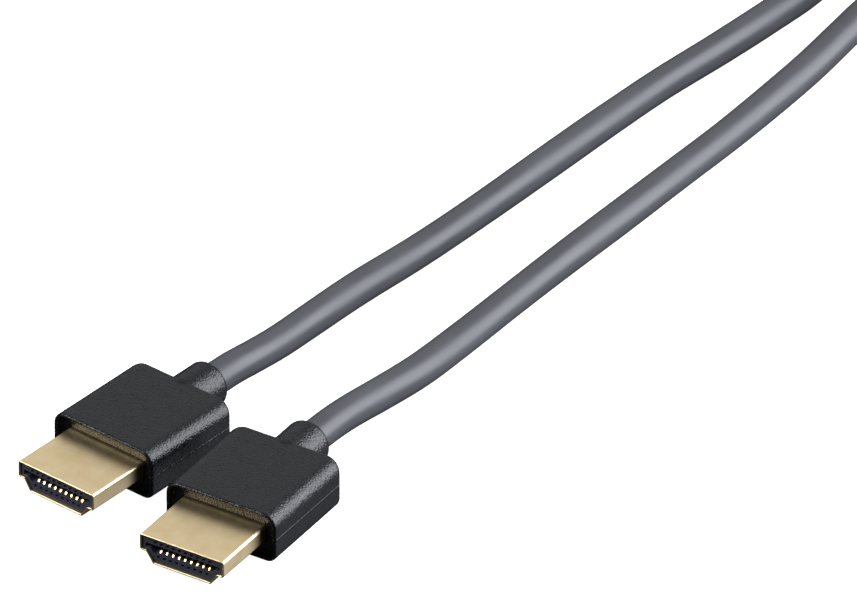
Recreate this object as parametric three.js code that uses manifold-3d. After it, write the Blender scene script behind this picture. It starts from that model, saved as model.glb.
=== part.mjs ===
// A slim audio and video cable: two moulded type A plugs on one round lead, as it lies on a level floor.
// The stretch between them is folded into a tied hank of two layers, in line with the plugs.
// Millimetres, +Z up. The origin is the middle of plug A's underside, and its shell points along -Y.
import * as THREE from "three";
import { mergeVertices } from "three/addons/utils/BufferGeometryUtils.js";
import Module from "manifold-3d";

// Overmould: the hand-held block, with its round collar at the back
const bodyWidth = 18.2;
const bodyHeight = 7.8;
const bodyLength = 17.6;
const topEdgeRadius = 2.2;
const bottomEdgeRadius = 1.6;
const backCornerRadius = 2.2;
const frontCornerRadius = 0.7;
const endEdgeRadius = 0.5;
const rimWidth = 0.8;
const recessDepth = 0.9;
const collarDiameter = 7.0;
const collarLength = 5.8;
const collarHeight = 4.5;
const collarEndRadius = 0.9;
const collarRoot = 1.0;

// Shell: the plated tube that goes into a socket, wide side up, with a shoulder low on each side
const shellWidth = 13.9;
const shellHeight = 4.45;
const shellWall = 0.3;
const shellExposed = 10.0;
const shellSeated = 3.6;
const shellCentreHeight = 3.1;
const shellCornerRadius = 0.45;
const shoulderDrop = 2.67;
const shoulderFall = 0.1;
const shoulderDepth = 1.1;
const footWidth = 9.5;
const seatClearance = 0.3;

// Insulator: the black tongue slot inside the shell, with one channel and one front window for each contact
const insulatorClearance = 0.1;
const insulatorSetback = 0.3;
const slotDrop = 1.35;
const slotHeight = 1.38;
const slotDepth = 7.5;
const slotSideWall = 0.45;
const slotStepHeight = 0.7;
const slotFloorWidth = 9.3;
const slotCornerRadius = 0.12;
const channelWidth = 0.5;
const channelDepth = 0.58;
const lipHeight = 0.22;
const lipDepth = 0.45;
const windowHeight = 0.4;

// Contacts: sprung strips at one pitch, ten above the slot and nine below it
const contactPitch = 1.0;
const upperContacts = 10;
const lowerContacts = 9;
const contactWidth = 0.4;
const contactThickness = 0.24;
const contactClearance = 0.05;
// Middle line of a strip: distance behind the insulator's front, and rise above the slot's wall
const contactLine = [
  [0.62, -0.3],
  [0.95, 0.1],
  [1.35, 0.28],
  [2.2, 0.22],
  [4.2, 0.0],
  [6.4, -0.34],
];

// Where plug B lies beside plug A, and how far it is turned about Z
const plugBAcross = 22.3;
const plugBAlong = -2.2;
const plugBTurn = 7.8;

// Lead, and the hank that holds its spare length: the near fold's centre, and how far off the far fold is
const leadDiameter = 5.0;
const leadSides = 10;
const stepDiameters = 2;
const joinGap = 0.3;
const hankAcross = 3.5;
const hankAlong = 187.3;
const hankRun = 27.0;
const innerTurnRadius = 15.4;
const loopsPerLayer = 1.81;
const turnPitch = 5.2;
const hankLayers = 2;
const hankEdgeRadius = 2.0;
const foldSegments = 24;

// Tie: a strap round one side of the hank, whose end laps over its start on top
const tieWidth = 10.0;
const tieThickness = 0.8;
const tieClearance = 0.3;
const tieCornerRadius = 0.6;
const tieLap = 9.0;
const tieLapStart = 3.5;

// Each lead from its collar to the hank: across, along, and rise above lying on the floor
const leadARoute = [
  [0, 19, 2.0],
  [-0.1, 24, 1.5],
  [-0.6, 30, 0.7],
  [-1.3, 37, 0.1],
  [-1.6, 48, 0],
  [-1.2, 62, 0],
  [-1.4, 76, 0],
  [-2.0, 92, 0],
  [-2.5, 106, 0],
  [-2.7, 118, 0],
  [-2.3, 131, 0],
  [-2.2, 143, 0],
  [-2.3, 150.7, 0],
  [-2.9, 155.5, 0],
  [-4.17, 159.12, 0],
];
const leadBRoute = [
  [19.9, 17, 2.0],
  [19.4, 22, 1.5],
  [18.9, 30, 0.5],
  [18.7, 38, 0],
  [18.1, 48, 0],
  [17.0, 61, 0],
  [16.0, 74, 0],
  [15.1, 88, 0],
  [14.2, 101, 0],
  [13.4, 113, 0],
  [12.2, 125, 0],
  [10.8, 136, 0],
  [9.7, 144, 0.4],
  [9.3, 150.7, 1.4],
  [9.9, 155.5, 2.5],
  [11.17, 159.12, 3.4],
];

const curveSegments = 3;
const across = new THREE.Vector3(1, 0, 0);
const along = new THREE.Vector3(0, 1, 0);
const up = new THREE.Vector3(0, 0, 1);
const frontFace = -bodyLength / 2;
const backFace = bodyLength / 2;
const collarEnd = backFace + collarLength;
const shellMouth = frontFace - shellExposed;
const shellRear = frontFace + shellSeated;
const shellTop = shellHeight / 2;
const insulatorFront = shellMouth + insulatorSetback;
const slotTop = shellTop - slotDrop;
const slotFloor = slotTop - slotHeight;
const slotEnd = insulatorFront + slotDepth;
const tailDrop = contactLine.at(-1)[1];
const hankOuterRadius = innerTurnRadius + loopsPerLayer * turnPitch + leadDiameter / 2;
const hankHoleRadius = innerTurnRadius - leadDiameter / 2;
const hankHeight = hankLayers * leadDiameter;

const wasm = await Module();
wasm.setup();

// A closed three.js geometry as a solid that can be cut and joined.
function solidOf(geometry) {
  const plain = geometry.clone();
  plain.deleteAttribute("normal");
  plain.deleteAttribute("uv");
  const merged = mergeVertices(plain, 1e-4);
  const vertProperties = merged.attributes.position.array;
  const triVerts = new Uint32Array(merged.index.array);
  return new wasm.Manifold(new wasm.Mesh({ numProp: 3, vertProperties, triVerts }));
}

// A solid as a three.js geometry again.
function geometryOf(solid) {
  const { vertProperties, triVerts } = solid.getMesh();
  const geometry = new THREE.BufferGeometry();
  geometry.setAttribute("position", new THREE.BufferAttribute(vertProperties, 3));
  geometry.setIndex(new THREE.BufferAttribute(triVerts, 1));
  geometry.computeVertexNormals();
  return geometry;
}

// One corner of an anticlockwise outline: its point, the ways to its neighbours, and half its angle.
function cornerAt(corners, i) {
  const [x, y, radius] = corners[i];
  const point = new THREE.Vector2(x, y);
  const [backX, backY] = corners.at(i - 1);
  const [aheadX, aheadY] = corners[(i + 1) % corners.length];
  const back = new THREE.Vector2(backX, backY).sub(point).normalize();
  const ahead = new THREE.Vector2(aheadX, aheadY).sub(point).normalize();
  const middle = back.clone().add(ahead).normalize();
  const half = Math.acos(back.dot(ahead)) / 2;
  return { point, radius, back, ahead, middle, half, hollow: back.cross(ahead) > 0 };
}

// A closed outline through anticlockwise corners [x, y, radius], each rounded by an arc.
function roundedShape(corners) {
  const shape = new THREE.Shape();
  for (let i = 0; i < corners.length; i++) {
    const { point, radius, back, ahead, middle, half, hollow } = cornerAt(corners, i);
    const reach = radius / Math.tan(half);
    const centre = point.clone().addScaledVector(middle, radius / Math.sin(half));
    const start = point.clone().addScaledVector(back, reach).sub(centre);
    const end = point.clone().addScaledVector(ahead, reach).sub(centre);
    shape.absarc(centre.x, centre.y, radius, start.angle(), end.angle(), hollow);
  }
  shape.closePath();
  return shape;
}

// The same outline with every side moved inwards by one distance, or outwards if it is negative.
function insetCorners(corners, distance) {
  return corners.map((_, i) => {
    const { point, radius, middle, half, hollow } = cornerAt(corners, i);
    const inwards = hollow ? -distance : distance;
    const moved = point.clone().addScaledVector(middle, inwards / Math.sin(half));
    return [moved.x, moved.y, Math.max(0.05, radius - inwards)];
  });
}

// A rectangle's corners, with one radius for its lower or front pair and one for the other pair.
function rectangle(left, low, right, high, lowRadius, highRadius) {
  return [
    [left, low, lowRadius],
    [right, low, lowRadius],
    [right, high, highRadius],
    [left, high, highRadius],
  ];
}

// An outline drawn across and up, carried along Y from one place to another.
function prismAlong(shape, start, end) {
  const geometry = new THREE.ExtrudeGeometry(shape, {
    depth: end - start,
    bevelEnabled: false,
    curveSegments,
  });
  const turn = new THREE.Matrix4().makeBasis(across, up, along.clone().negate());
  return geometry.applyMatrix4(turn).translate(0, end, 0);
}

// An outline drawn along and up, carried across X, with its middle at one place.
function prismAcross(shape, width, middle) {
  const geometry = new THREE.ExtrudeGeometry(shape, {
    depth: width,
    bevelEnabled: false,
    curveSegments,
  });
  const turn = new THREE.Matrix4().makeBasis(along, up, across);
  return geometry.applyMatrix4(turn).translate(middle - width / 2, 0, 0);
}

// An outline drawn across and along, carried up Z from the floor.
function prismUp(shape, height) {
  return new THREE.ExtrudeGeometry(shape, { depth: height, bevelEnabled: false, curveSegments });
}

// A box between two corners.
function boxBetween([x0, y0, z0], [x1, y1, z1]) {
  const box = new THREE.BoxGeometry(x1 - x0, y1 - y0, z1 - z0);
  return box.translate((x0 + x1) / 2, (y0 + y1) / 2, (z0 + z1) / 2);
}

// The shell's outside, about its own centre: wide top, straight sides, a shoulder and a narrow foot.
function shellCorners() {
  const side = shellWidth / 2;
  const foot = footWidth / 2;
  const shoulder = shellTop - shoulderDrop;
  const inner = side - shoulderDepth;
  const right = [
    [foot, -shellTop, shellCornerRadius],
    [inner, shoulder - shoulderFall, shellCornerRadius / 2],
    [side, shoulder, shellCornerRadius],
    [side, shellTop, shellCornerRadius],
  ];
  const left = right.map(([x, y, radius]) => [-x, y, radius]).reverse();
  return [...right, ...left];
}

// The front of the block, about the plug's middle: flat sides, with soft long edges.
function bodyCorners() {
  const side = bodyWidth / 2;
  return rectangle(-side, 0, side, bodyHeight, bottomEdgeRadius, topEdgeRadius);
}

// The collar that the lead leaves by: a round stub with a softened end, rooted in the block.
function collarGeometry() {
  const radius = collarDiameter / 2;
  const start = backFace - collarRoot;
  const points = [new THREE.Vector2(0, start), new THREE.Vector2(radius, start)];
  const arcSteps = 4;
  for (let i = 0; i <= arcSteps; i++) {
    const angle = ((Math.PI / 2) * i) / arcSteps;
    const x = radius - collarEndRadius * (1 - Math.cos(angle));
    const y = collarEnd - collarEndRadius * (1 - Math.sin(angle));
    points.push(new THREE.Vector2(x, y));
  }
  points.push(new THREE.Vector2(0, collarEnd));
  return new THREE.LatheGeometry(points, 32).translate(0, 0, collarHeight);
}

// The overmould, one moulding: the block cut from three outlines, its collar, its recess and the seat.
function overmouldGeometry() {
  const side = bodyWidth / 2;
  const plan = rectangle(-side, frontFace, side, backFace, frontCornerRadius, backCornerRadius);
  const profile = rectangle(frontFace, 0, backFace, bodyHeight, endEdgeRadius, endEdgeRadius);
  const block = solidOf(prismAlong(roundedShape(bodyCorners()), frontFace, backFace))
    .intersect(solidOf(prismUp(roundedShape(plan), bodyHeight)))
    .intersect(solidOf(prismAcross(roundedShape(profile), bodyWidth, 0)));
  const recess = roundedShape(insetCorners(bodyCorners(), rimWidth));
  const seat = roundedShape(insetCorners(shellCorners(), -seatClearance));
  const seatHole = prismAlong(seat, frontFace, shellRear + seatClearance);
  return geometryOf(
    block
      .add(solidOf(collarGeometry()))
      .subtract(solidOf(prismAlong(recess, frontFace - recessDepth, frontFace + recessDepth)))
      .subtract(solidOf(seatHole.translate(0, 0, shellCentreHeight))),
  );
}

// The shell: one tube with an even wall, from its mouth to its rear edge in the overmould.
function shellGeometry() {
  const outline = roundedShape(shellCorners());
  outline.holes.push(roundedShape(insetCorners(shellCorners(), shellWall)));
  return prismAlong(outline, shellMouth, shellRear);
}

// Where the contacts of a row lie across the plug.
function rowPlaces(count) {
  return Array.from({ length: count }, (_, i) => (i - (count - 1) / 2) * contactPitch);
}

// One contact's channel in the lower row: a window in the front below the slot's lip, an open stretch
// beside the slot, and a closed stretch round the strip's tail.
function channelSolid(place) {
  const left = place - channelWidth / 2;
  const right = place + channelWidth / 2;
  const tailHalf = contactThickness / 2 + contactClearance;
  const tail = slotFloor + tailDrop;
  const windowTop = slotFloor - lipHeight;
  const front = [
    [left, insulatorFront - insulatorSetback, windowTop - windowHeight],
    [right, insulatorFront + 2 * lipDepth, windowTop],
  ];
  const open = [
    [left, insulatorFront + lipDepth, slotFloor - channelDepth],
    [right, slotEnd, slotFloor + slotCornerRadius],
  ];
  const closed = [
    [left, slotEnd - contactPitch, tail - tailHalf],
    [right, shellRear + insulatorSetback, tail + tailHalf],
  ];
  return [front, open, closed].map((ends) => solidOf(boxBetween(...ends))).reduce((all, one) => all.add(one));
}

// Turns a lower-row solid or geometry over into the upper row, about the slot's middle height.
function toUpperRow(piece) {
  const turn = new THREE.Matrix4().makeTranslation(0, 0, slotTop + slotFloor);
  return piece.applyMatrix4(turn.multiply(new THREE.Matrix4().makeScale(-1, 1, -1)));
}

// The upper row's channel: the lower one turned over.
function upperChannelSolid(place) {
  return solidOf(toUpperRow(geometryOf(channelSolid(-place))));
}

// The slot that a socket's tongue enters: nearly as wide as the shell, with a step up at each side.
function slotSolid() {
  const side = shellWidth / 2 - shellWall - insulatorClearance - slotSideWall;
  const foot = slotFloorWidth / 2;
  const step = slotFloor + slotStepHeight;
  const right = [
    [foot, slotFloor, slotCornerRadius],
    [foot + slotStepHeight, step, slotCornerRadius],
    [side, step, slotCornerRadius],
    [side, slotTop, slotCornerRadius],
  ];
  const left = right.map(([x, y, radius]) => [-x, y, radius]).reverse();
  const outline = roundedShape([...right, ...left]);
  return solidOf(prismAlong(outline, insulatorFront - insulatorSetback, slotEnd));
}

// The insulator: it fills the shell, less the tongue slot and the channels.
function insulatorGeometry() {
  const outside = insetCorners(shellCorners(), shellWall + insulatorClearance);
  let insulator = solidOf(prismAlong(roundedShape(outside), insulatorFront, shellRear));
  insulator = insulator.subtract(slotSolid());
  for (const place of rowPlaces(lowerContacts)) {
    insulator = insulator.subtract(channelSolid(place));
  }
  for (const place of rowPlaces(upperContacts)) {
    insulator = insulator.subtract(upperChannelSolid(place));
  }
  return geometryOf(insulator).translate(0, 0, shellCentreHeight);
}

// One lower-row contact: a strip that rises into the slot and runs back into its channel.
function contactGeometry(place) {
  const line = contactLine.map(([behind, rise]) => [insulatorFront + behind, slotFloor + rise]);
  line.push([shellRear, slotFloor + tailDrop]);
  const half = contactThickness / 2;
  const below = line.map(([y, z]) => new THREE.Vector2(y, z - half));
  const above = line.map(([y, z]) => new THREE.Vector2(y, z + half)).reverse();
  return prismAcross(new THREE.Shape([...below, ...above]), contactWidth, place);
}

const black = new THREE.MeshStandardMaterial({ color: 0x2c2d31, roughness: 0.62, metalness: 0 });
const gold = new THREE.MeshStandardMaterial({ color: 0xcbb98f, roughness: 0.32, metalness: 1 });
const darkInsert = new THREE.MeshStandardMaterial({ color: 0x17171b, roughness: 0.5, metalness: 0 });
const brightGold = new THREE.MeshStandardMaterial({ color: 0xe8d6a8, roughness: 0.2, metalness: 1 });
const grey = new THREE.MeshStandardMaterial({ color: 0x55585c, roughness: 0.5, metalness: 0 });
const strapBlack = new THREE.MeshStandardMaterial({ color: 0x1c1c1e, roughness: 0.9, metalness: 0 });

function namedMesh(name, geometry, material) {
  const mesh = new THREE.Mesh(geometry, material);
  mesh.name = name;
  return mesh;
}

// One row of contacts, numbered from the left.
function contactRow(name, count, shape) {
  const row = new THREE.Group();
  rowPlaces(count).forEach((place, i) => {
    const number = String(i + 1).padStart(2, "0");
    const geometry = shape(place).translate(0, 0, shellCentreHeight);
    row.add(namedMesh(`${name}_${number}`, geometry, brightGold));
  });
  return row;
}

// A whole plug, with its middle at the origin and its underside on the floor.
function plug(name) {
  const group = new THREE.Group();
  group.add(namedMesh(`${name}_overmould`, overmouldGeometry(), black));
  const shell = namedMesh(`${name}_shell`, shellGeometry(), gold);
  shell.position.z = shellCentreHeight;
  group.add(shell);
  group.add(namedMesh(`${name}_insulator`, insulatorGeometry(), darkInsert));
  group.add(contactRow(`${name}_contact_lower`, lowerContacts, contactGeometry));
  const upperContact = (place) => toUpperRow(contactGeometry(-place));
  group.add(contactRow(`${name}_contact_upper`, upperContacts, upperContact));
  return group;
}

// A plug's collar end in the whole cable's frame, where its lead starts.
function leadStart(plugGroup) {
  plugGroup.updateMatrix();
  const start = new THREE.Vector3(0, collarEnd + joinGap, collarHeight);
  return start.applyMatrix4(plugGroup.matrix);
}

// A lead's tube along one smooth curve through its start and its route's points.
function leadGeometry(start, route) {
  const lying = leadDiameter / 2;
  const points = route.map(([x, y, rise]) => new THREE.Vector3(x, y, lying + rise));
  const curve = new THREE.CatmullRomCurve3([start, ...points], false, "centripetal");
  const section = Array.from({ length: leadSides }, (_, i) => {
    const angle = (2 * Math.PI * i) / leadSides;
    return new THREE.Vector2(Math.cos(angle), Math.sin(angle)).multiplyScalar(lying);
  });
  const steps = Math.round(curve.getLength() / (stepDiameters * leadDiameter));
  return new THREE.ExtrudeGeometry(new THREE.Shape(section), { steps, extrudePath: curve });
}

// A closed outline with two round ends, about the centre of its near end.
function roundEnded(radius) {
  const shape = new THREE.Shape();
  shape.absarc(0, 0, radius, Math.PI, 2 * Math.PI, false);
  shape.absarc(0, hankRun, radius, 0, Math.PI, false);
  shape.closePath();
  return shape;
}

// The hank's outer form: an oval ring that holds every turn, and rises over the tie on its right side.
function hankGeometry() {
  const outline = roundEnded(hankOuterRadius);
  outline.holes.push(roundEnded(hankHoleRadius));
  const ring = solidOf(
    new THREE.ExtrudeGeometry(outline, {
      depth: hankHeight - 2 * hankEdgeRadius,
      bevelThickness: hankEdgeRadius,
      bevelSize: hankEdgeRadius,
      bevelOffset: -hankEdgeRadius,
      bevelSegments: 2,
      curveSegments: foldSegments,
    }).translate(0, 0, hankEdgeRadius),
  );
  const reach = tieWidth / 2 + tieClearance;
  const held = solidOf(
    boxBetween(
      [0, hankRun / 2 - reach, -tieClearance],
      [hankOuterRadius + tieClearance, hankRun / 2 + reach, hankHeight + tieClearance],
    ),
  );
  const raised = ring.intersect(held).translate([0, 0, tieThickness + tieClearance]);
  return geometryOf(ring.subtract(held).add(raised));
}

// The tie: a flat strap through the hank's middle and round its right side, with its end lapped on top.
function tieGeometry() {
  const left = hankHoleRadius - tieClearance;
  const right = hankOuterRadius + tieClearance;
  const top = tieThickness + hankHeight + 2 * tieClearance;
  const front = (hankRun - tieWidth) / 2;
  const back = (hankRun + tieWidth) / 2;
  const inside = rectangle(left, tieThickness, right, top, tieCornerRadius, tieCornerRadius);
  const outline = roundedShape(insetCorners(inside, -tieThickness));
  outline.holes.push(roundedShape(inside));
  const lapEnd = right - tieLapStart;
  const lap = boxBetween([lapEnd - tieLap, front, top], [lapEnd, back, top + 2 * tieThickness]);
  return geometryOf(solidOf(prismAlong(outline, front, back)).add(solidOf(lap)));
}

const cable = new THREE.Group();
const plugA = plug("plug_a");
const plugB = plug("plug_b");
plugB.position.set(plugBAcross, plugBAlong, 0);
plugB.rotation.z = THREE.MathUtils.degToRad(plugBTurn);
const hank = new THREE.Group();
hank.position.set(hankAcross, hankAlong, 0);
hank.add(namedMesh("cable_hank", hankGeometry(), grey));
hank.add(namedMesh("hank_tie", tieGeometry(), strapBlack));
cable.add(plugA, plugB, hank);
cable.add(namedMesh("cable_lead_a", leadGeometry(leadStart(plugA), leadARoute), grey));
cable.add(namedMesh("cable_lead_b", leadGeometry(leadStart(plugB), leadBRoute), grey));

export default cable;
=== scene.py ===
# %% [markdown]
# A slim audio and video cable, dressed for the photograph's view. Two moulded plugs lie side by side,
# each with a gold plated shell, and one round grey lead joins them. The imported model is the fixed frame:
# every piece below is made in the same place, in metres, and stands for the solid that it replaces.

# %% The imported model
import math

import bmesh
import bpy
import numpy as np
from mathutils import Matrix, Vector


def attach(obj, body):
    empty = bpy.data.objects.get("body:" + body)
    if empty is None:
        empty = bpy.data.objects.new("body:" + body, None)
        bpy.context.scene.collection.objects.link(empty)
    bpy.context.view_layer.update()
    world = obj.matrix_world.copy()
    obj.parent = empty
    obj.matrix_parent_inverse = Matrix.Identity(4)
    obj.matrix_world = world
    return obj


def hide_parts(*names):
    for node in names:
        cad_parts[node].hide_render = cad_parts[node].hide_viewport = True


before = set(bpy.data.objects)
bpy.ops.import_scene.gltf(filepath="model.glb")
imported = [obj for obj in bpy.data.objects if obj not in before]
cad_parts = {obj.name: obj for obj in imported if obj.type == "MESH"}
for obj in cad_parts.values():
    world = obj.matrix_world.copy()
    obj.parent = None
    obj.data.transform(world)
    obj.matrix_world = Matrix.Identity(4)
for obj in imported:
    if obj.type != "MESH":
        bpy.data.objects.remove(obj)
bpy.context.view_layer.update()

MM = 0.001
scene = bpy.context.scene
print("nodes in the frame:", len(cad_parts))

# %% [markdown]
# The camera. The picture was taken with a long lens from far off, because the plugs' parallel edges stay
# nearly parallel. So the camera stands 2.5 m away with a very long lens, turned and raised until the two
# shells' corners fall where they do in the picture. It looks at the middle of the frame on the floor.

# %% Camera
FRAME_WIDTH = 857
PIXELS_PER_MM = 7.03
VIEW_TURN = math.radians(39.9)
VIEW_RISE = math.radians(33.2)
VIEW_DISTANCE = 2500
AIM = Vector((5.64, 55.6, 0)) * MM

camera_data = bpy.data.cameras.new("product_camera")
camera_data.sensor_width = 36
camera_data.lens = PIXELS_PER_MM * VIEW_DISTANCE * camera_data.sensor_width / FRAME_WIDTH
camera_data.clip_end = 20
camera = bpy.data.objects.new("product_camera", camera_data)
scene.collection.objects.link(camera)
view_way = Vector((
    -math.sin(VIEW_TURN) * math.cos(VIEW_RISE),
    math.cos(VIEW_TURN) * math.cos(VIEW_RISE),
    -math.sin(VIEW_RISE),
))
camera.location = AIM - view_way * VIEW_DISTANCE * MM
camera.rotation_euler = view_way.to_track_quat("-Z", "Y").to_euler()
scene.camera = camera
print("lens in mm:", round(camera_data.lens, 1))

# %% [markdown]
# Surfaces. Every new piece is a grid of points worked out with numpy and put into a mesh in one go. The
# grid's rows are rings of points, and each ring joins the next one, as hoops hold the skin of a barrel.
# The first and last ring are capped or joined to each other, so that each piece is one closed skin. A
# second grid, one column wider, gives each point its place on the surface in millimetres, for streaks.

# %% Grid meshes
LEAST_RADIUS = 0.05


def cell_corners(grid):
    """The four corners of each cell of a grid, so that the cell faces out of rings that run along +Y."""
    return np.stack([grid[:-1, :-1], grid[1:, :-1], grid[1:, 1:], grid[:-1, 1:]], axis=2)


def ring_quads(rows, columns, joined):
    """Point numbers of the quads between neighbouring rings, each ring closed on itself."""
    numbers = np.arange(rows * columns).reshape(rows, columns)
    numbers = np.concatenate([numbers, numbers[:, :1]], axis=1)
    if joined:
        numbers = np.concatenate([numbers, numbers[:1]])
    return cell_corners(numbers).reshape(-1, 4)


def surface_places(rings, joined):
    """How far each point lies round its ring and along the rows, both as running lengths in millimetres."""
    wide = np.concatenate([rings, rings[:, :1]], axis=1)
    if joined:
        wide = np.concatenate([wide, wide[:1]])
    round_steps = np.linalg.norm(np.diff(wide, axis=1), axis=2).mean(axis=0)
    long_steps = np.linalg.norm(np.diff(wide, axis=0), axis=2).mean(axis=1)
    around = np.concatenate([[0], np.cumsum(round_steps)])
    along = np.concatenate([[0], np.cumsum(long_steps)])
    return np.stack(np.broadcast_arrays(around[None, :], along[:, None]), axis=-1)


def ring_piece(name, ring_sets, joined=False):
    """One object from sets of rings, each set a closed skin of its own with its places on the surface."""
    points, faces, places, first_number = [], [], [], 0
    for rings in ring_sets:
        rows, columns = rings.shape[:2]
        quads = ring_quads(rows, columns, joined) + first_number
        faces += quads.tolist()
        places.append(cell_corners(surface_places(rings, joined)).reshape(-1, 2))
        if not joined:
            front = np.arange(columns) + first_number
            faces += [front.tolist(), (front[::-1] + (rows - 1) * columns).tolist()]
            places.append(np.zeros((2 * columns, 2)))
        points.append(rings.reshape(-1, 3))
        first_number += rows * columns
    mesh = bpy.data.meshes.new(name)
    mesh.from_pydata((np.concatenate(points) * MM).tolist(), [], faces)
    layer = mesh.uv_layers.new(name="surface_mm")
    layer.data.foreach_set("uv", np.concatenate(places).astype(np.float32).ravel())
    mesh.polygons.foreach_set("use_smooth", np.ones(len(mesh.polygons), dtype=bool))
    mesh.update()
    piece = bpy.data.objects.new(name, mesh)
    scene.collection.objects.link(piece)
    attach(piece, "root")
    print(name, "has", len(faces), "faces")
    return piece


def corner_ways(point):
    """At each corner: the ways to its two neighbours, the way halfway between them, and half its angle."""
    back = np.roll(point, 1, axis=0) - point
    ahead = np.roll(point, -1, axis=0) - point
    back /= np.linalg.norm(back, axis=1, keepdims=True)
    ahead /= np.linalg.norm(ahead, axis=1, keepdims=True)
    middle = (back + ahead) / np.linalg.norm(back + ahead, axis=1, keepdims=True)
    half = np.arccos((back * ahead).sum(axis=1, keepdims=True)) / 2
    return back, ahead, middle, half


def rounded_outline(corners, arc_steps, edge_steps):
    """Points round an outline of corners (x, z, radius), anticlockwise.

    Each corner is an arc that touches its two sides, and each side between two arcs is cut into even steps.
    """
    point, radius = corners[:, :2], corners[:, 2:]
    back, ahead, middle, half = corner_ways(point)
    centre = point + middle * radius / np.sin(half)
    start = point + back * radius / np.tan(half) - centre
    end = point + ahead * radius / np.tan(half) - centre
    first = np.arctan2(start[:, 1], start[:, 0])
    turn = (np.arctan2(end[:, 1], end[:, 0]) - first + math.pi) % (2 * math.pi) - math.pi
    angle = first[:, None] + turn[:, None] * np.linspace(0, 1, arc_steps + 1)
    arcs = centre[:, None] + radius[:, None] * np.stack([np.cos(angle), np.sin(angle)], axis=-1)
    gap = np.roll(arcs[:, 0], -1, axis=0) - arcs[:, -1]
    share = np.linspace(0, 1, edge_steps + 1)[1:-1]
    edges = arcs[:, -1][:, None] + gap[:, None] * share[None, :, None]
    return np.concatenate([arcs, edges], axis=1).reshape(-1, 2)


def inset_corners(corners, distance):
    """The same corners with every side moved inwards, each corner along the line that halves its angle.

    Where the outline turns back on itself, the corner is hollow and moves the other way.
    """
    point, radius = corners[:, :2], corners[:, 2:]
    back, ahead, middle, half = corner_ways(point)
    hollow = (back[:, 0] * ahead[:, 1] - back[:, 1] * ahead[:, 0])[:, None] > 0
    inwards = np.where(hollow, -distance, distance)
    moved = point + middle * inwards / np.sin(half)
    return np.concatenate([moved, np.maximum(radius - inwards, LEAST_RADIUS)], axis=1)


# %% [markdown]
# The lead's route. It repeats the route of the model's own solids: straight out of a collar, down to the
# floor and along it, out of the picture, and then round the loops of a tied hank. The lower layer of the
# hank winds inwards on the floor, the lead hops up at the middle, and the upper layer winds outwards on
# top of it, so that both ends leave the hank on its outside. Where the tie passes under one side of the
# hank, the loops ride up over it a little.

# %% Route
LEAD_DIAMETER = 5.0
COLLAR_END = 14.6
COLLAR_HEIGHT = 4.5
LEAD_TUCK = 1.2
PLUG_B_PLACE = (22.3, -2.2)
PLUG_B_TURN = math.radians(7.8)
HANK_PLACE = (3.5, 187.3)
HANK_RUN = 27.0
INNER_TURN_RADIUS = 15.4
TURN_PITCH = 5.2
WHOLE_LOOPS = 3
HOP_LOOPS = 0.25
JOIN_ANGLE = 234.8
POINTS_PER_LOOP = 24
TIE_THICKNESS = 0.9
TIE_WIDTH = 10.0

LEAD_A_ROUTE = np.array([
    (0, 19, 2.0), (-0.1, 24, 1.5), (-0.6, 30, 0.7), (-1.3, 37, 0.1), (-1.6, 48, 0), (-1.2, 62, 0),
    (-1.4, 76, 0), (-2.0, 92, 0), (-2.5, 106, 0), (-2.7, 118, 0), (-2.3, 131, 0), (-2.2, 143, 0),
    (-2.3, 150.7, 0), (-2.9, 155.5, 0), (-4.17, 159.12, 0), (-6.3, 162.7, 0),
])
LEAD_B_ROUTE = np.array([
    (19.9, 17, 2.0), (19.4, 22, 1.5), (18.9, 30, 0.5), (18.7, 38, 0), (18.1, 48, 0), (17.0, 61, 0),
    (16.0, 74, 0), (15.1, 88, 0), (14.2, 101, 0), (13.4, 113, 0), (12.2, 125, 0), (10.8, 136, 0),
    (9.7, 144, 0.4), (9.3, 150.7, 1.4), (9.9, 155.5, 2.5), (11.17, 159.12, 3.4), (13.3, 162.7, 4.2),
])


def on_plug_b(points):
    """Points of a plug's own frame, turned about Z and moved to where plug B lies."""
    turn = np.array(Matrix.Rotation(PLUG_B_TURN, 3, "Z"))
    return points @ turn.T + np.array([*PLUG_B_PLACE, 0])


def hank_loops():
    """The hank's middle line, loop after loop with the clock.

    A loop is the near fold's left half, the left run, the far fold, the right run and the near fold's right
    half. The angle rests while a run slides the centre between the folds. The radius falls by one pitch a
    loop, holds for the hop, and grows again, and the height rises by one diameter over the hop.
    """
    quarter = math.pi / 2 * (INNER_TURN_RADIUS + TURN_PITCH * (WHOLE_LOOPS + 1) / 4)
    stretches = np.array([quarter, HANK_RUN, 2 * quarter, HANK_RUN, quarter])
    marks = np.concatenate([[0], np.cumsum(stretches)]) / stretches.sum()
    first = marks[1] * (270 - JOIN_ANGLE) / 90
    loops = WHOLE_LOOPS + 1 - 2 * first
    loop = np.linspace(0, loops, round(loops * POINTS_PER_LOOP) + 1)
    phase = (loop + first) % 1
    angle = np.radians(np.interp(phase, marks, [270, 180, 180, 0, 0, -90]))
    slide = np.interp(phase, marks, [0, 0, HANK_RUN, HANK_RUN, 0, 0])
    layer_loops = (loops - HOP_LOOPS) / 2
    inward = np.maximum(layer_loops - loop, 0)
    outward = np.maximum(loop - layer_loops - HOP_LOOPS, 0)
    radius = INNER_TURN_RADIUS + TURN_PITCH * (inward + outward)
    hop = np.clip((loop - layer_loops) / HOP_LOOPS, 0, 1)
    x = radius * np.cos(angle)
    y = slide + radius * np.sin(angle)
    over_tie = np.exp(-(((y - HANK_RUN / 2) / TIE_WIDTH) ** 4)) * (x > 0)
    height = LEAD_DIAMETER * (0.5 + hop * hop * (3 - 2 * hop)) + TIE_THICKNESS * over_tie
    return np.column_stack([HANK_PLACE[0] + x, HANK_PLACE[1] + y, height])


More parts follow.
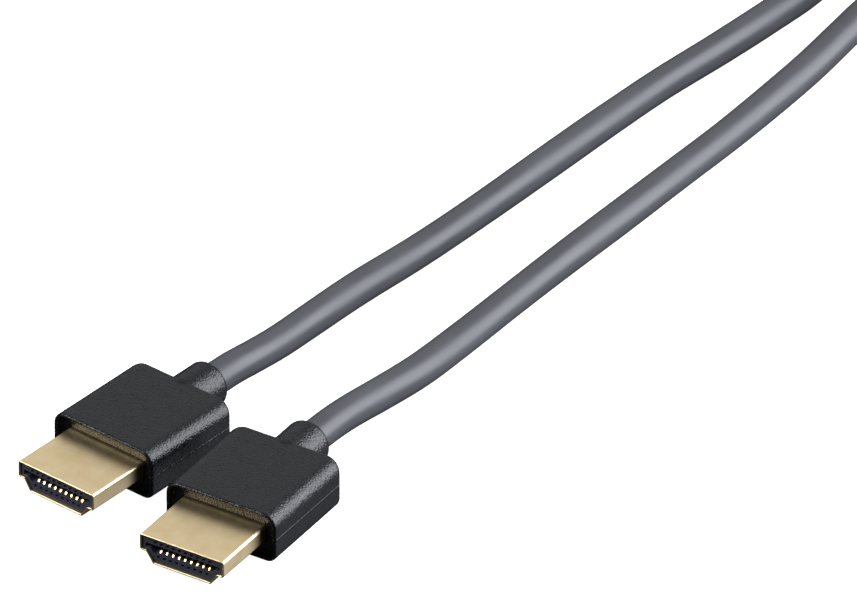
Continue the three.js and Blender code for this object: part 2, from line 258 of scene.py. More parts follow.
def smooth_line(points, step):
    """A curve through points, each stretch a blend of its four nearest points, cut into even steps.

    The knots are spaced by the root of each stretch's length, so that uneven points make no loops.
    """
    ends = np.vstack([2 * points[0] - points[1], points, 2 * points[-1] - points[-2]])
    knots = np.concatenate([[0], np.cumsum(np.sqrt(np.linalg.norm(np.diff(ends, axis=0), axis=1)))])
    share = np.linspace(0, 1, 12, endpoint=False)
    p0, p1, p2, p3 = (ends[i:len(ends) - 3 + i, None, :] for i in range(4))
    t0, t1, t2, t3 = (knots[i:len(knots) - 3 + i, None, None] for i in range(4))
    t = t1 + (t2 - t1) * share[None, :, None]
    a1 = (t1 - t) / (t1 - t0) * p0 + (t - t0) / (t1 - t0) * p1
    a2 = (t2 - t) / (t2 - t1) * p1 + (t - t1) / (t2 - t1) * p2
    a3 = (t3 - t) / (t3 - t2) * p2 + (t - t2) / (t3 - t2) * p3
    b1 = (t2 - t) / (t2 - t0) * a1 + (t - t0) / (t2 - t0) * a2
    b2 = (t3 - t) / (t3 - t1) * a2 + (t - t1) / (t3 - t1) * a3
    fine = ((t2 - t) / (t2 - t1) * b1 + (t - t1) / (t2 - t1) * b2).reshape(-1, 3)
    fine = np.vstack([fine, points[-1]])
    run = np.concatenate([[0], np.cumsum(np.linalg.norm(np.diff(fine, axis=0), axis=1))])
    stops = np.linspace(0, run[-1], int(round(run[-1] / step)) + 1)
    return np.column_stack([np.interp(stops, run, fine[:, k]) for k in range(3)]), stops


lying = np.array([0, 0, LEAD_DIAMETER / 2])
tucked = np.array([[0, COLLAR_END - LEAD_TUCK, COLLAR_HEIGHT], [0, COLLAR_END + 0.5, COLLAR_HEIGHT]])
route = np.vstack([
    tucked,
    LEAD_A_ROUTE + lying,
    hank_loops(),
    (LEAD_B_ROUTE + lying)[::-1],
    on_plug_b(tucked)[::-1],
])
lead_line, lead_run = smooth_line(route, step=1.5)
print("lead length in mm:", round(float(lead_run[-1])), "from", len(route), "points")

# %% [markdown]
# The lead itself is a round tube carried along that line. Under its jacket the wires are twisted
# together, so a slim lead is never a perfect cylinder: its skin swells by a few hundredths of a
# millimetre in a slow helix. That makes the long highlight on it waver a little, as a real one does. A
# curve object with a round bevel would draw the tube, but only a grid of rings can carry the swelling.

# %% Lead
LEAD_SIDES = 32
LAY_LENGTH = 46.0
LAY_SWELL = 0.035


def lead_rings(line, run):
    """Circles square to the line, whose radius swells in two strands that wind round it with the length."""
    way = np.gradient(line, axis=0)
    way /= np.linalg.norm(way, axis=1, keepdims=True)
    side = np.cross(way, [0, 0, 1])
    side /= np.linalg.norm(side, axis=1, keepdims=True)
    top = np.cross(side, way)
    angle = np.linspace(0, 2 * math.pi, LEAD_SIDES, endpoint=False)
    swell = LAY_SWELL * np.cos(2 * angle[None, :] - 2 * math.pi * run[:, None] / LAY_LENGTH)
    radius = (LEAD_DIAMETER / 2 - LAY_SWELL + swell)[..., None]
    across = np.cos(angle)[None, :, None] * side[:, None, :]
    upwards = np.sin(angle)[None, :, None] * top[:, None, :]
    return line[:, None, :] + radius * (across + upwards)


lead = ring_piece("grey_lead", [lead_rings(lead_line, lead_run)])
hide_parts("cable_lead_a", "cable_hank", "cable_lead_b")

# %% [markdown]
# The tie is a hook-and-loop strap in one turn round the hank's right side, with its end lapped over its
# start on top. A cloth simulation could wrap it, but a tight strap has a plain shape: its line is a
# rounded rectangle about the four runs that it holds, and the second pass lies one thickness further
# out. The strap's section is a flat bar with rounded edges.

# %% Tie
TIE_INSIDE = (16.6, 29.8)
TIE_TOP = 11.0
TIE_CORNER = 2.2
TIE_LAP = 9.0
TIE_LIFT = 6.0
TIE_BARS = 160


def tie_rings():
    """Bars across the strap's line: the line goes once round and then laps over its own start."""
    left, right = TIE_INSIDE
    half = TIE_THICKNESS / 2
    corners = np.array([
        (left - half, half, TIE_CORNER), (right + half, half, TIE_CORNER),
        (right + half, TIE_TOP + half, TIE_CORNER), (left - half, TIE_TOP + half, TIE_CORNER),
    ])
    turn = rounded_outline(corners, arc_steps=10, edge_steps=12)
    # The outline starts at its lower left corner, and five eighths of the way round is the top's middle
    turn = np.roll(turn, -len(turn) * 5 // 8, axis=0)
    fine = np.vstack([turn, turn])
    run = np.concatenate([[0], np.cumsum(np.linalg.norm(np.diff(fine, axis=0), axis=1))])
    once = run[len(turn)]
    stops = np.linspace(0, once + TIE_LAP, TIE_BARS)
    line = np.column_stack([np.interp(stops, run, fine[:, k]) for k in range(2)])
    way = np.gradient(line, axis=0)
    way /= np.linalg.norm(way, axis=1, keepdims=True)
    out = np.column_stack([way[:, 1], -way[:, 0]])
    lift = np.clip((stops - once + TIE_LIFT) / TIE_LIFT, 0, 1)
    line = line + out * (lift * lift * (3 - 2 * lift) * TIE_THICKNESS)[:, None]
    edge = half * 0.8
    bar = np.array([
        (-TIE_WIDTH / 2, -half, edge), (TIE_WIDTH / 2, -half, edge),
        (TIE_WIDTH / 2, half, edge), (-TIE_WIDTH / 2, half, edge),
    ])
    section = rounded_outline(bar, arc_steps=4, edge_steps=6)
    x = line[:, None, 0] + out[:, None, 0] * section[None, :, 1]
    y = np.broadcast_to(HANK_PLACE[1] + HANK_RUN / 2 + section[None, :, 0], x.shape)
    z = line[:, None, 1] + out[:, None, 1] * section[None, :, 1]
    return np.stack([x, y, z], axis=-1)


tie = ring_piece("hank_strap", [tie_rings()])
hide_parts("hank_tie")

# %% [markdown]
# The overmould is one piece of black PVC, moulded over the shell and the end of the lead. It could be
# a box with bevels and a cylinder joined by a boolean, but then the corners meet in creases. Here one
# closed skin runs like a lathe profile, but over outlines that aren't round: from the pocket that grips
# the shell, over the dished recess and its rounded rim, along the block, round the back, up a small
# fillet onto the collar, over the collar's soft end and down into the lead's hole. The collar stands a
# little above the block, so it swells out of the block's top before the back edge. The points of every
# outline are matched by their direction from the middle, so the skin never twists.

# %% Overmoulds
BODY_HALF_WIDTH = 9.1
BODY_HEIGHT = 7.8
BODY_FRONT = -8.8
BODY_BACK = 8.8
TOP_EDGE_RADIUS = 2.2
BOTTOM_EDGE_RADIUS = 1.6
BACK_CORNER_RADIUS = 1.25
BACK_EDGE_RADIUS = 0.6
RIM_RADIUS = 0.4
RIM_WIDTH = 0.75
RECESS_DEPTH = 0.9
RECESS_DISH = 0.3
COLLAR_RADIUS = 3.5
COLLAR_FILLET = 0.35
COLLAR_ROOT = 2.0
COLLAR_RISE = 0.5
COLLAR_END_RADIUS = 0.9
RING_STEP = 0.01
LEAD_HOLE_RADIUS = 2.58
SHELL_CENTRE_HEIGHT = 3.1
POCKET_CLEARANCE = 0.2
POCKET_END = -4.9

SHELL_CORNERS = np.array([
    (-4.75, -2.225, 0.45), (4.75, -2.225, 0.45), (5.85, -0.545, 0.225), (6.95, -0.445, 0.45),
    (6.95, 2.225, 0.45), (-6.95, 2.225, 0.45), (-6.95, -0.445, 0.45), (-5.85, -0.545, 0.225),
])


def body_outline(inset_x, inset_z):
    """The block's cross-section, moved in by one distance at the sides and another above and below."""
    side = BODY_HALF_WIDTH - inset_x
    low, high = inset_z, BODY_HEIGHT - inset_z
    shrink = min(inset_x, inset_z) + 0.3 * abs(inset_x - inset_z)
    below = max(BOTTOM_EDGE_RADIUS - shrink, 0.4)
    above = max(TOP_EDGE_RADIUS - shrink, 0.6)
    corners = [(-side, low, below), (side, low, below), (side, high, above), (-side, high, above)]
    return rounded_outline(np.array(corners), arc_steps=12, edge_steps=36)


def pocket_outline(outline, clearance):
    """The shell's outline plus a clearance, met by a ray from the shell's middle through each point."""
    wall = rounded_outline(inset_corners(SHELL_CORNERS, -clearance), arc_steps=10, edge_steps=60)
    wall_angle = np.arctan2(wall[:, 1], wall[:, 0])
    order = np.argsort(wall_angle)
    reach = np.linalg.norm(wall, axis=1)[order]
    angle = np.arctan2(outline[:, 1] - SHELL_CENTRE_HEIGHT, outline[:, 0])
    reach = np.interp(angle, wall_angle[order], reach, period=2 * math.pi)
    return np.column_stack([reach * np.cos(angle), SHELL_CENTRE_HEIGHT + reach * np.sin(angle)])


def collar_outline(outline, radius):
    """A circle about the collar's middle, met by a ray through each point and kept inside the outline."""
    away = outline - [0, COLLAR_HEIGHT]
    reach = np.linalg.norm(away, axis=1, keepdims=True)
    return away / reach * np.minimum(reach, radius) + [0, COLLAR_HEIGHT]


def with_collar(outline, radius):
    """An outline pushed out to the collar's circle wherever that circle reaches past it."""
    away = outline - [0, COLLAR_HEIGHT]
    reach = np.linalg.norm(away, axis=1, keepdims=True)
    return away / reach * np.maximum(reach, radius) + [0, COLLAR_HEIGHT]


def arc(count):
    """Even angles from 0 to a right angle."""
    return np.linspace(0, math.pi / 2, count)


def overmould_rings():
    """All rings of the overmould's skin, front pocket first, as (outline, place along Y) pairs."""
    full = body_outline(0, 0)
    floor = BODY_FRONT + RECESS_DEPTH
    rings = [(pocket_outline(full, POCKET_CLEARANCE), y) for y in (POCKET_END, floor + 0.1)]
    rings.append((pocket_outline(full, POCKET_CLEARANCE + 0.1), floor))
    rings.append((pocket_outline(full, POCKET_CLEARANCE + 0.16), floor))
    for a in arc(5):
        inset = RIM_WIDTH + RECESS_DISH * (1 - math.sin(a))
        rings.append((body_outline(inset, inset), floor - RECESS_DISH * (1 - math.cos(a))))
    inner = RIM_WIDTH - RIM_RADIUS
    for a in arc(6):
        inset = inner + inner * math.cos(a)
        rings.append((body_outline(inset, inset), BODY_FRONT + inner * (1 - math.sin(a))))
    for a in arc(7)[1:]:
        inset = RIM_RADIUS * (1 - math.sin(a))
        rings.append((body_outline(inset, inset), BODY_FRONT + RIM_RADIUS * (1 - math.cos(a))))
    for y in np.linspace(BODY_FRONT + RIM_RADIUS + 0.2, BODY_BACK - BACK_CORNER_RADIUS - 0.2, 12):
        rings.append((full, y))
    for a in np.linspace(0, math.pi / 2, 18):
        y = BODY_BACK - BACK_CORNER_RADIUS * (1 - math.sin(a))
        inset_x = BACK_CORNER_RADIUS * (1 - math.cos(a))
        near_end = np.clip((y - BODY_BACK + BACK_EDGE_RADIUS) / BACK_EDGE_RADIUS, 0, 1)
        inset_z = BACK_EDGE_RADIUS * (1 - math.sqrt(1 - near_end ** 2))
        below = 1 - np.clip((y - BODY_BACK + COLLAR_ROOT) / COLLAR_ROOT, 0, 1)
        radius = COLLAR_RADIUS - COLLAR_RISE * below ** 2
        rings.append((with_collar(body_outline(inset_x, inset_z), radius), y))
    back = rings[-1][0]
    root = collar_outline(back, COLLAR_RADIUS + COLLAR_FILLET)
    for share, step in ((0.04, 1), (0.96, 2)):
        rings.append((back + (root - back) * share, BODY_BACK + step * RING_STEP))
    for a in arc(6):
        radius = COLLAR_RADIUS + COLLAR_FILLET * (1 - math.sin(a))
        y = BODY_BACK + 3 * RING_STEP + COLLAR_FILLET * (1 - math.cos(a))
        rings.append((collar_outline(back, radius), y))
    for y in np.linspace(BODY_BACK + COLLAR_FILLET + 0.2, COLLAR_END - COLLAR_END_RADIUS - 0.1, 5):
        rings.append((collar_outline(back, COLLAR_RADIUS), y))
    for a in arc(9):
        radius = COLLAR_RADIUS - COLLAR_END_RADIUS * (1 - math.cos(a))
        y = COLLAR_END - COLLAR_END_RADIUS * (1 - math.sin(a))
        rings.append((collar_outline(back, radius), y))
    for y in (COLLAR_END - 0.06, COLLAR_END - LEAD_TUCK - 0.1):
        rings.append((collar_outline(back, LEAD_HOLE_RADIUS), y))
    return np.array([np.column_stack([o[:, 0], np.full(len(o), y), o[:, 1]]) for o, y in rings])


def on_plug_a(points):
    """Points of a plug's own frame, which is where plug A lies."""
    return points


PLUGS = {"plug_a": on_plug_a, "plug_b": on_plug_b}
overmoulds = []
for plug, placed in PLUGS.items():
    piece = ring_piece(f"{plug}_moulding", [placed(overmould_rings())])
    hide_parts(f"{plug}_overmould")
    overmoulds.append(piece)

# %% [markdown]
# The shell is formed from sheet steel and then plated. A flat outline with a Solidify modifier would give
# its wall, but with square edges. So an outer and an inner wall are joined by a rounded mouth in front
# and a plain edge behind, as one ring of rings, and the round edge of the mouth catches a bright line.

# %% Shells
SHELL_WALL = 0.3
SHELL_MOUTH = -18.8
SHELL_REAR = -5.2
MOUTH_EDGE = 0.14


def shell_rings():
    """The outer wall from the mouth to the rear, and then the inner wall from the rear to the mouth."""
    middle = SHELL_WALL / 2
    profile = [(middle * (1 - math.sin(a)), SHELL_MOUTH + MOUTH_EDGE * (1 - math.cos(a))) for a in arc(5)]
    profile += [(0, y) for y in np.linspace(SHELL_MOUTH + 0.25, SHELL_REAR - 0.05, 12)]
    profile += [(0.05, SHELL_REAR), (SHELL_WALL - 0.05, SHELL_REAR)]
    profile += [(SHELL_WALL, y) for y in np.linspace(SHELL_REAR - 0.05, SHELL_MOUTH + 0.25, 12)]
    profile += [(SHELL_WALL - middle * (1 - math.cos(a)), SHELL_MOUTH + MOUTH_EDGE * (1 - math.sin(a)))
                for a in arc(5)[:-1]]
    rings = []
    for inset, y in profile:
        outline = rounded_outline(inset_corners(SHELL_CORNERS, inset), arc_steps=6, edge_steps=8)
        height = outline[:, 1] + SHELL_CENTRE_HEIGHT
        rings.append(np.column_stack([outline[:, 0], np.full(len(outline), y), height]))
    return np.array(rings)


shells = []
for plug, placed in PLUGS.items():
    piece = ring_piece(f"{plug}_plated_shell", [placed(shell_rings())], joined=True)
    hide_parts(f"{plug}_shell")
    shells.append(piece)

# %% [markdown]
# The insulator keeps the model's own form, with its tongue slot and its nineteen channels. A copy of plug
# A's mesh is merged, its flat faces are joined up again, and every edge gets a narrow round, so that the
# edges of the slot catch the light as moulded edges do. Plug B's is the same mesh, turned and moved.

# %% Insulators
INSULATOR_EDGE = 0.07
insulators = []
to_plug_b = Matrix.Translation(Vector((*PLUG_B_PLACE, 0)) * MM) @ Matrix.Rotation(PLUG_B_TURN, 4, "Z")
for plug, placing in (("plug_a", Matrix.Identity(4)), ("plug_b", to_plug_b)):
    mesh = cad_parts["plug_a_insulator"].data.copy()
    mesh.name = f"{plug}_contact_block"
    merged = bmesh.new()
    merged.from_mesh(mesh)
    bmesh.ops.remove_doubles(merged, verts=merged.verts, dist=0.002 * MM)
    flat = math.radians(1)
    bmesh.ops.dissolve_limit(merged, angle_limit=flat, verts=merged.verts, edges=merged.edges)
    merged.to_mesh(mesh)
    merged.free()
    mesh.transform(placing)
    mesh.materials.clear()
    piece = bpy.data.objects.new(mesh.name, mesh)
    scene.collection.objects.link(piece)
    bevel = piece.modifiers.new("edge_round", "BEVEL")
    bevel.width = INSULATOR_EDGE * MM
    bevel.segments = 2
    bevel.limit_method = "ANGLE"
    bevel.angle_limit = math.radians(40)
    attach(piece, "root")
    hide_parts(f"{plug}_insulator")
    insulators.append(piece)
    print(piece.name, "has", len(mesh.polygons), "flat faces before its edges are rounded")

# %% [markdown]
# The contacts are sprung strips in two rows. One strip is a small bar with rounded edges that follows the
# strip's side view: up out of its channel, over a crown that a socket's tongue rubs on, and back into the
# insulator. The row is that strip again at each place, and the upper row is the lower one turned over. An
# array modifier would repeat it too, but the rows have to lie in the turned frame of plug B as well.

# %% Contacts
CONTACT_PITCH = 1.0
CONTACT_HALF = (0.2, 0.12)
CONTACT_EDGE = 0.05
INSULATOR_FRONT = -18.5
SLOT_FLOOR = -0.505
SLOT_TOP = 0.875
CONTACT_LINE = np.array([
    (0.62, -0.3), (0.95, 0.1), (1.35, 0.28), (2.2, 0.22), (4.2, 0.0), (6.4, -0.34),
    (9.8, -0.34), (13.3, -0.34),
])


def strip_rings():
    """Bars square to the strip's line, which runs back along Y and up and down by the strip's bends."""
    line = np.column_stack([
        np.zeros(len(CONTACT_LINE)),
        INSULATOR_FRONT + CONTACT_LINE[:, 0],
        SLOT_FLOOR + CONTACT_LINE[:, 1],
    ])
    line, _ = smooth_line(line, step=0.1)
    way = np.gradient(line, axis=0)
    way /= np.linalg.norm(way, axis=1, keepdims=True)
    up = np.column_stack([np.zeros(len(way)), -way[:, 2], way[:, 1]])
    wide, thick = CONTACT_HALF
    bar = np.array([
        (-wide, -thick, CONTACT_EDGE), (wide, -thick, CONTACT_EDGE),
        (wide, thick, CONTACT_EDGE), (-wide, thick, CONTACT_EDGE),
    ])
    section = rounded_outline(bar, arc_steps=3, edge_steps=2)
    across = np.array([1.0, 0, 0])
    return line[:, None, :] + section[None, :, :1] * across + section[None, :, 1:] * up[:, None, :]


def contact_row(count, turned_over):
    """The strip at each place of a row, in the plug's own frame."""
    places = (np.arange(count) - (count - 1) / 2) * CONTACT_PITCH
    strip = strip_rings()
    if turned_over:
        strip = strip * [-1, 1, -1] + [0, 0, SLOT_TOP + SLOT_FLOOR]
    return [strip + [place, 0, SHELL_CENTRE_HEIGHT] for place in places]


contacts = []
for plug, placed in PLUGS.items():
    for row, count in (("lower", 9), ("upper", 10)):
        strips = [placed(strip) for strip in contact_row(count, row == "upper")]
        piece = ring_piece(f"{plug}_{row}_contacts", strips)
        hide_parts(*(f"{plug}_contact_{row}_{i + 1:02d}" for i in range(count)))
        contacts.append(piece)

# %% [markdown]
# Materials. One helper adds a node and sets its inputs, and one turns a screen colour into the light that
# a shader works with. Patterns are made of noise on millimetres: the noise node's scale is one over the
# size of a patch, so each size below is a real one. Noise mostly stays between 0.3 and 0.7, so that range
# is what the maps below stretch. Image textures would need unwrapping and files, and noise needs neither.

# %% Material helpers
def linear(hex_colour):
    """A screen colour such as #808080 as linear light, by the sRGB curve."""
    value = np.array([int(hex_colour[i:i + 2], 16) for i in (1, 3, 5)]) / 255
    light = np.where(value <= 0.04045, value / 12.92, ((value + 0.055) / 1.055) ** 2.4)
    return (*light, 1.0)


def set_inputs(tree, node, inputs):
    """Each input of a node set to a value, or joined to another node's socket."""
    for name, value in inputs.items():
        if isinstance(value, bpy.types.NodeSocket):
            tree.links.new(value, node.inputs[name])
        else:
            node.inputs[name].default_value = value


def add_node(tree, kind, inputs, **settings):
    """A new shader node with its settings and its inputs, by number or by name."""
    node = tree.nodes.new(kind)
    for name, value in settings.items():
        setattr(node, name, value)
    set_inputs(tree, node, inputs)
    return node


def new_material(name):
    """A new material, with its node tree and its surface node."""
    material = bpy.data.materials.new(name)
    material.use_nodes = True
    return material, material.node_tree, material.node_tree.nodes["Principled BSDF"]


def part_millimetres(tree, stretch=(1, 1, 1)):
    """The place in the part's own frame in millimetres, times a factor along each axis."""
    place = add_node(tree, "ShaderNodeTexCoord", {}).outputs["Object"]
    factors = tuple(factor / MM for factor in stretch)
    return add_node(tree, "ShaderNodeVectorMath", {0: place, 1: factors}, operation="MULTIPLY").outputs[0]


def skin_millimetres(tree, stretch=(1, 1, 1)):
    """The place round and along a piece's own skin in millimetres, times a factor along each."""
    place = add_node(tree, "ShaderNodeUVMap", {}, uv_map="surface_mm").outputs[0]
    return add_node(tree, "ShaderNodeVectorMath", {0: place, 1: stretch}, operation="MULTIPLY").outputs[0]


# %% [markdown]
# The overmoulds are black PVC. Its mould was spark-eroded, which leaves a field of fine pits, and each
# pit mirrors the softbox from its own angle: that breaks a highlight into bright grains. The real pits
# are about 0.1 mm across and would vanish in the render, so they are drawn 0.27 mm wide. A thin raised
# line at mid height is left where the two halves of the mould met. Soft PVC mirrors a little less than
# hard plastic, so its specular level is below the usual one.

# %% Black moulded plastic
PIT_SIZE = 0.27
PIT_DEPTH = 0.04
PARTING_HEIGHT = 3.9
PARTING_RISE = 0.06

black, tree, surface = new_material("black_textured_pvc")
place = part_millimetres(tree)
pits = {"Vector": place, "Scale": 1 / PIT_SIZE, "Detail": 1.0}
pits = add_node(tree, "ShaderNodeTexNoise", pits).outputs[0]
cloud = {"Vector": place, "Scale": 1 / 1.6, "Detail": 2.0}
cloud = add_node(tree, "ShaderNodeTexNoise", cloud).outputs[0]
height = add_node(tree, "ShaderNodeSeparateXYZ", {0: place}).outputs[2]
above = add_node(tree, "ShaderNodeMath", {0: height, 1: PARTING_HEIGHT}, operation="SUBTRACT").outputs[0]
away = add_node(tree, "ShaderNodeMath", {0: above}, operation="ABSOLUTE").outputs[0]
parting = add_node(tree, "ShaderNodeMapRange", {0: away, 1: 0.05, 2: 0.14, 3: 1, 4: 0}).outputs[0]
pit_share = add_node(tree, "ShaderNodeMapRange", {0: pits, 1: 0.3, 2: 0.7, 3: 0, 4: 1}).outputs[0]
cloud_share = add_node(tree, "ShaderNodeMapRange", {0: cloud, 1: 0.3, 2: 0.7, 3: 0, 4: 1}).outputs[0]
pitted = {"Height": pit_share, "Distance": PIT_DEPTH * MM, "Strength": 1.0}
pitted = add_node(tree, "ShaderNodeBump", pitted).outputs[0]
parted = {"Height": parting, "Distance": PARTING_RISE * MM, "Strength": 1.0, "Normal": pitted}
dulling = {0: pits, 1: 0.3, 2: 0.7, 3: 0.24, 4: 0.36}
dulling = add_node(tree, "ShaderNodeMapRange", dulling).outputs[0]
blend = {0: cloud_share, 6: linear("#090a0d"), 7: linear("#0e0f13")}
set_inputs(tree, surface, {
    "Base Color": add_node(tree, "ShaderNodeMix", blend, data_type="RGBA").outputs[2],
    "Roughness": dulling,
    "Specular IOR Level": 0.33,
    "Normal": add_node(tree, "ShaderNodeBump", parted).outputs[0],
})
print(black.name, "has", len(tree.nodes), "nodes")

# %% [markdown]
# The shells are plated with a thin layer of gold over nickel. The sheet under it was rolled, which leaves
# very fine streaks along the plug, and the plating softens them to a satin. A metal keeps the default IOR
# and takes all its colour from the base colour, which wavers a little between a paler and a deeper gold.

# %% Gold plating on the shells
STREAK_STRETCH = (9, 2.5, 1)
STREAK_DEPTH = 0.0007

gold, tree, surface = new_material("satin_gold_plating")
streaks = {"Vector": skin_millimetres(tree, STREAK_STRETCH), "Scale": 1.0, "Detail": 3.0}
streaks = add_node(tree, "ShaderNodeTexNoise", streaks).outputs[0]
cloud = {"Vector": part_millimetres(tree), "Scale": 1 / 2.5, "Detail": 2.0}
cloud = add_node(tree, "ShaderNodeTexNoise", cloud).outputs[0]
cloud_share = add_node(tree, "ShaderNodeMapRange", {0: cloud, 1: 0.3, 2: 0.7, 3: 0, 4: 1}).outputs[0]
dulling = {0: streaks, 1: 0.3, 2: 0.7, 3: 0.36, 4: 0.42}
dulling = add_node(tree, "ShaderNodeMapRange", dulling).outputs[0]
rolled = {"Height": streaks, "Distance": STREAK_DEPTH * MM, "Strength": 1.0}
blend = {0: cloud_share, 6: linear("#edd4a2"), 7: linear("#f6e1b4")}
set_inputs(tree, surface, {
    "Base Color": add_node(tree, "ShaderNodeMix", blend, data_type="RGBA").outputs[2],
    "Metallic": 1.0,
    "Roughness": dulling,
    "Normal": add_node(tree, "ShaderNodeBump", rolled).outputs[0],
})
print(gold.name, "has", len(tree.nodes), "nodes")

# %% [markdown]
# The insulators are a glass-filled nylon, moulded in a polished mould. It is a very dark blue grey and
# smoother than the overmould, so its rounded edges draw thin light lines round the slot and the windows.

# %% Insulator plastic
insulating, tree, surface = new_material("black_satin_nylon")
fibres = {"Vector": part_millimetres(tree), "Scale": 1 / 0.12, "Detail": 2.0}
fibres = add_node(tree, "ShaderNodeTexNoise", fibres).outputs[0]
dulling = {0: fibres, 1: 0.3, 2: 0.7, 3: 0.28, 4: 0.4}
dulling = add_node(tree, "ShaderNodeMapRange", dulling).outputs[0]
rippled = {"Height": fibres, "Distance": 0.003 * MM, "Strength": 1.0}
blend = {0: fibres, 6: linear("#3f414f"), 7: linear("#4c4e5d")}
set_inputs(tree, surface, {
    "Base Color": add_node(tree, "ShaderNodeMix", blend, data_type="RGBA").outputs[2],
    "Roughness": dulling,
    "Normal": add_node(tree, "ShaderNodeBump", rippled).outputs[0],
})
print(insulating.name, "has", len(tree.nodes), "nodes")

# %% [markdown]
# The contacts are sprung copper alloy with hard gold on it, brighter and smoother than the shell. A
# socket's tongue rubs them lengthwise, so their roughness changes in long narrow patches.

# %% Contact gold
RUB_STRETCH = (12, 0.8, 4)

bright, tree, surface = new_material("bright_contact_gold")
rub = {"Vector": part_millimetres(tree, RUB_STRETCH), "Scale": 1.0, "Detail": 2.0}
rub = add_node(tree, "ShaderNodeTexNoise", rub).outputs[0]
dulling = {0: rub, 1: 0.3, 2: 0.7, 3: 0.16, 4: 0.3}
dulling = add_node(tree, "ShaderNodeMapRange", dulling).outputs[0]
blend = {0: rub, 6: linear("#f0d493"), 7: linear("#f7e2b4")}
set_inputs(tree, surface, {
    "Base Color": add_node(tree, "ShaderNodeMix", blend, data_type="RGBA").outputs[2],
    "Metallic": 1.0,
    "Roughness": dulling,
})
print(bright.name, "has", len(tree.nodes), "nodes")

# %% [markdown]
# The lead's jacket is grey PVC, pressed out through a die. The die leaves very fine lines that run along
# the lead, and the sheen changes slowly from place to place where it was handled. The lines follow the
# piece's own places on its skin, because the lead bends and a pattern in straight axes would cut across.

# %% Grey jacket
jacket, tree, surface = new_material("grey_pvc_jacket")
place = part_millimetres(tree)
lines = {"Vector": skin_millimetres(tree, (6, 0.12, 1)), "Scale": 1.0, "Detail": 3.0}
lines = add_node(tree, "ShaderNodeTexNoise", lines).outputs[0]
slow = {"Vector": place, "Scale": 1 / 9.0, "Detail": 2.0}
slow = add_node(tree, "ShaderNodeTexNoise", slow).outputs[0]
pores = {"Vector": place, "Scale": 1 / 0.14, "Detail": 2.0}
pores = add_node(tree, "ShaderNodeTexNoise", pores).outputs[0]
slow_share = add_node(tree, "ShaderNodeMapRange", {0: slow, 1: 0.3, 2: 0.7, 3: 0, 4: 1}).outputs[0]
drawn = {"Height": lines, "Distance": 0.006 * MM, "Strength": 1.0}
drawn = add_node(tree, "ShaderNodeBump", drawn).outputs[0]
dulling = {0: slow, 1: 0.3, 2: 0.7, 3: 0.4, 4: 0.48}
dulling = add_node(tree, "ShaderNodeMapRange", dulling).outputs[0]
porous = {"Height": pores, "Distance": 0.004 * MM, "Strength": 1.0, "Normal": drawn}
blend = {0: slow_share, 6: linear("#3c3d41"), 7: linear("#444549")}
set_inputs(tree, surface, {
    "Base Color": add_node(tree, "ShaderNodeMix", blend, data_type="RGBA").outputs[2],
    "Roughness": dulling,
    "Specular IOR Level": 0.39,
    "Normal": add_node(tree, "ShaderNodeBump", porous).outputs[0],
})
print(jacket.name, "has", len(tree.nodes), "nodes")

# %% [markdown]
# The tie is a woven nylon strap with a napped face. Its threads cross every 0.6 mm, and the nap between
# them scatters light at a low angle, which sheen stands for. Two wave patterns at right angles, on the
# strap's own places, give the weave without a mesh of threads that no view would show.

# %% Strap
THREAD_SPACING = 0.6
WAVES_PER_SCALE = 3.2

strap, tree, surface = new_material("black_woven_strap")
weave = {"Vector": skin_millimetres(tree), "Scale": 1 / THREAD_SPACING / WAVES_PER_SCALE}
warp = add_node(tree, "ShaderNodeTexWave", weave, bands_direction="X").outputs[1]
weft = add_node(tree, "ShaderNodeTexWave", weave, bands_direction="Y").outputs[1]
threads = add_node(tree, "ShaderNodeMath", {0: warp, 1: weft}, operation="MULTIPLY").outputs[0]
nap = {"Vector": part_millimetres(tree), "Scale": 1 / 0.25, "Detail": 4.0}
nap = add_node(tree, "ShaderNodeTexNoise", nap).outputs[0]
woven = {"Height": threads, "Distance": 0.12 * MM, "Strength": 1.0}
woven = add_node(tree, "ShaderNodeBump", woven).outputs[0]
napped = {"Height": nap, "Distance": 0.06 * MM, "Strength": 1.0, "Normal": woven}
blend = {0: nap, 6: linear("#101011"), 7: linear("#1e1e20")}
set_inputs(tree, surface, {
    "Base Color": add_node(tree, "ShaderNodeMix", blend, data_type="RGBA").outputs[2],
    "Roughness": 0.9,
    "Sheen Weight": 0.3,
    "Normal": add_node(tree, "ShaderNodeBump", napped).outputs[0],
})
print(strap.name, "has", len(tree.nodes), "nodes")

# %% [markdown]
# Each real part is made of one thing and has one finish, so each piece gets one material.

# %% Each piece gets its material
dressed = [(overmoulds, black), (shells, gold), (insulators, insulating), (contacts, bright)]
dressed += [([lead], jacket), ([tie], strap)]
for pieces, material in dressed:
    for piece in pieces:
        piece.data.materials.append(material)
    print(material.name, "is on", len(pieces), "pieces")

# %% [markdown]
# The set. The picture's ground is pure white without a shadow, and yet the sides of the plugs mirror
# something dark: such pictures are cut out and laid on white. So the floor here is a plain white sheet
# that only the camera sees. It casts no light and no reflection onto the cable, and the room round it is
# dark grey, with a softbox for each highlight.

# %% Floor
FLOOR_REACH = 10.0
FLOOR_LEVEL = -0.0001

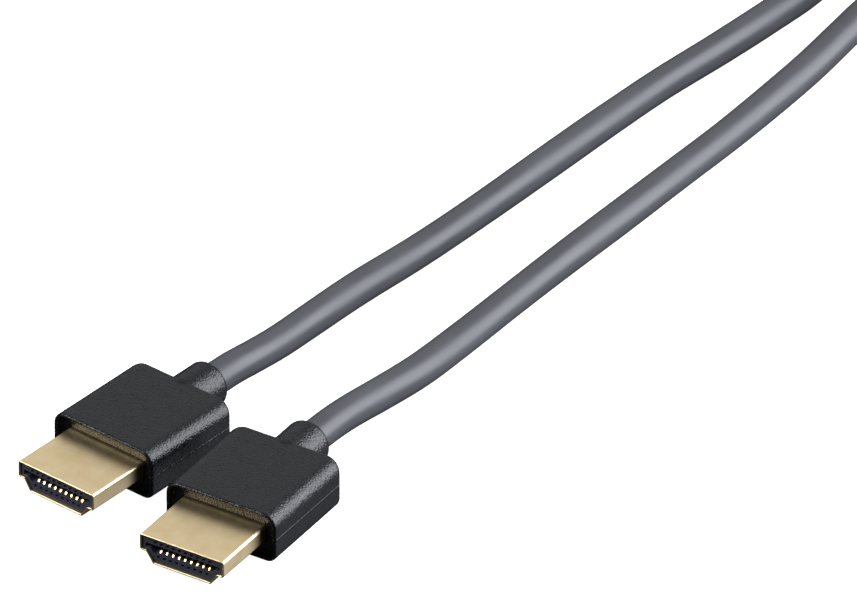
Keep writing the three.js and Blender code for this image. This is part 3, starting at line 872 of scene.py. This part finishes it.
floor_sides = np.array([(-1, -1), (1, -1), (1, 1), (-1, 1)]) * FLOOR_REACH
floor_corners = np.column_stack([floor_sides, np.full(4, FLOOR_LEVEL)])
floor_mesh = bpy.data.meshes.new("white_floor")
floor_mesh.from_pydata(floor_corners.tolist(), [], [(0, 1, 2, 3)])
floor = bpy.data.objects.new("white_floor", floor_mesh)
scene.collection.objects.link(floor)
floor.visible_diffuse = False
floor.visible_glossy = False
floor.visible_shadow = False
sheet, tree, surface = new_material("white_sheet")
white = linear("#ffffff")
set_inputs(tree, surface, {"Base Color": white, "Emission Color": white, "Emission Strength": 1.0})
floor_mesh.materials.append(sheet)
print("floor in metres across:", 2 * FLOOR_REACH)

# %% [markdown]
# The lights. A surface shows a softbox where the way to the camera and the way to the light lie evenly on
# both sides of its normal, so each softbox is placed by the surface that has to show it. The one behind
# on the left lights the flat tops, the one on the right draws the broad line along the right-hand edges,
# and the one in front lights the contacts, the rims and the gold that the recesses mirror. A weak one
# overhead fills in, and one from below on the right stands for the glow of the white ground. A softbox's
# brightness is what it would show if seen, so its power grows with its area.

# %% Lights
LIT_PLACE = Vector((10, 30, 5)) * MM


def softbox(name, way, distance, width, height, brightness, colour="#ffffff"):
    """A rectangular light in a given direction from the plugs, facing them, by its brightness when seen."""
    light = bpy.data.lights.new(name, "AREA")
    light.shape = "RECTANGLE"
    light.size = width
    light.size_y = height
    # A flat light of this power per square metre shows a brightness of one
    light.energy = 4 * brightness * width * height
    light.color = linear(colour)[:3]
    lamp = bpy.data.objects.new(name, light)
    way = Vector(way).normalized()
    lamp.location = LIT_PLACE + way * distance
    lamp.rotation_euler = (-way).to_track_quat("-Z", "Y").to_euler()
    scene.collection.objects.link(lamp)
    return lamp


softbox("back_left_softbox", (-0.537, 0.642, 0.548), 0.9, 0.95, 0.9, 0.52, "#fbfcff")
softbox("right_softbox", (0.64, 0.642, 0.42), 0.9, 0.9, 0.9, 7.4, "#f6f8ff")
softbox("front_softbox", (-0.537, -0.6, 0.6), 0.9, 0.5, 0.45, 7.0)
softbox("overhead_softbox", (0.05, 0.1, 1.0), 1.0, 0.7, 0.7, 0.6, "#f4f6ff")
softbox("ground_glow", (0.60, 0.60, -0.53), 0.9, 0.7, 0.6, 0.42, "#f0f4ff")

world = bpy.data.worlds.new("dark_room")
world.use_nodes = True
world.node_tree.nodes["Background"].inputs["Color"].default_value = linear("#f4f6fa")
world.node_tree.nodes["Background"].inputs["Strength"].default_value = 0.06
scene.world = world
scene.view_settings.view_transform = "Standard"
